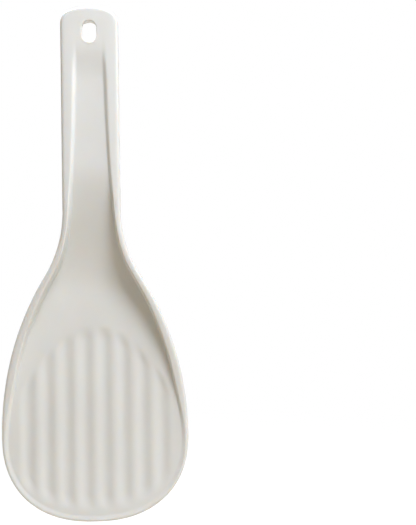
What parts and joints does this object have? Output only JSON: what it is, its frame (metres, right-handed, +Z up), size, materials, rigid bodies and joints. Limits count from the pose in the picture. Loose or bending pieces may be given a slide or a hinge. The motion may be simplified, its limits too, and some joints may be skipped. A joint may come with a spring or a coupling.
{
  "type": "rice paddle",
  "caption": "Moulded plastic rice paddle: shallow grooved blade with raised shoulders, and a channel handle with a hanging hole.",
  "frame": {"origin": "on the axis of the hanging hole, in the flat front face of the handle", "axes": "+Z up the handle, away from the blade; +Y from the front to the back; +X to the right, seen from the front"},
  "size_m": [0.0768, 0.0144, 0.21],
  "materials": {
    "polypropylene": "milky white moulded polypropylene, satin"
  },
  "bodies": {
    "root": {"hanging_eye": "polypropylene", "end_wall": "polypropylene", "handle_web": "polypropylene", "side_wall_left": "polypropylene", "side_wall_right": "polypropylene", "neck": "polypropylene", "blade_floor": "polypropylene", "blade_rim_left": "polypropylene", "blade_rim_right": "polypropylene"}
  },
  "joints": []
}
